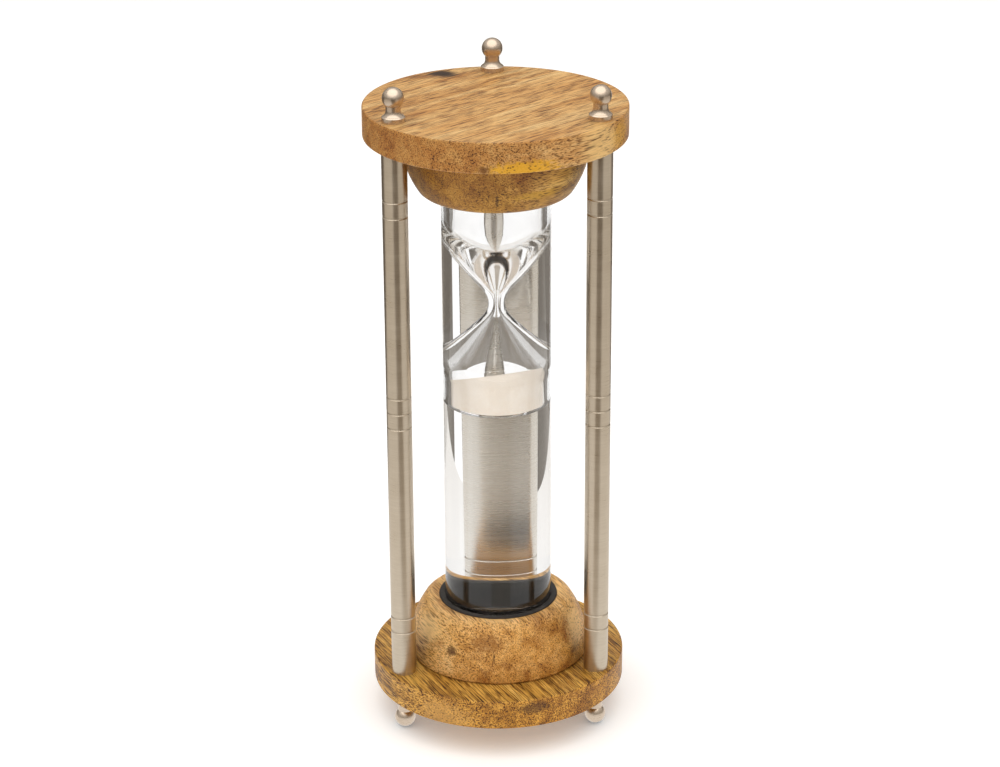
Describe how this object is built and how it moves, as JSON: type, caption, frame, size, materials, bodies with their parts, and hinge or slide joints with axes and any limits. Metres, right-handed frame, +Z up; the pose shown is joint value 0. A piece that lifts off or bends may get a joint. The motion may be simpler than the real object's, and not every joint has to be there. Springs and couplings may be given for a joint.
{
  "type": "floating hourglass",
  "caption": "Floating sand timer: a sealed glass timer rides in a liquid-filled tube between turned wooden ends, clamped by metal columns with ball finials and feet.",
  "frame": {"origin": "on the table, under the middle of the three feet and on the axis of the glass tube", "axes": "+Z up along the glass tube; the rear column stands on +Y and the other two are 120 degrees either side of it"},
  "size_m": [0.1016, 0.1016, 0.268],
  "materials": {
    "mango_wood": "satin",
    "satin_nickel": "satin",
    "zinc_steel": "satin",
    "black_rubber": "matte",
    "tube_glass": "polished",
    "timer_glass": "polished",
    "clear_liquid": "polished",
    "sand": "matte"
  },
  "bodies": {
    "stand": {"base_plate": "mango_wood", "top_plate": "mango_wood", "lower_cup": "mango_wood", "upper_cup": "mango_wood", "lower_sleeve": "black_rubber", "upper_sleeve": "black_rubber", "lower_cushion": "black_rubber", "upper_cushion": "black_rubber", "tube_stopper": "black_rubber", "outer_tube": "tube_glass", "liquid": "clear_liquid", "rear_post": "satin_nickel", "rear_tie_rod": "zinc_steel", "rear_finial": "satin_nickel", "rear_foot": "satin_nickel", "left_post": "satin_nickel", "left_tie_rod": "zinc_steel", "left_finial": "satin_nickel", "left_foot": "satin_nickel", "right_post": "satin_nickel", "right_tie_rod": "zinc_steel", "right_finial": "satin_nickel", "right_foot": "satin_nickel"},
    "timer": {"timer_glass": "timer_glass", "sand": "sand"}
  },
  "joints": [
    {"name": "timer_float", "type": "slide", "parent": "stand", "child": "timer", "axis": [0, 0, -1], "range_m": [0, 0.0942], "stiffness_N_per_m": 1, "springref_m": -0.68, "deforming": ["liquid"]}
  ]
}
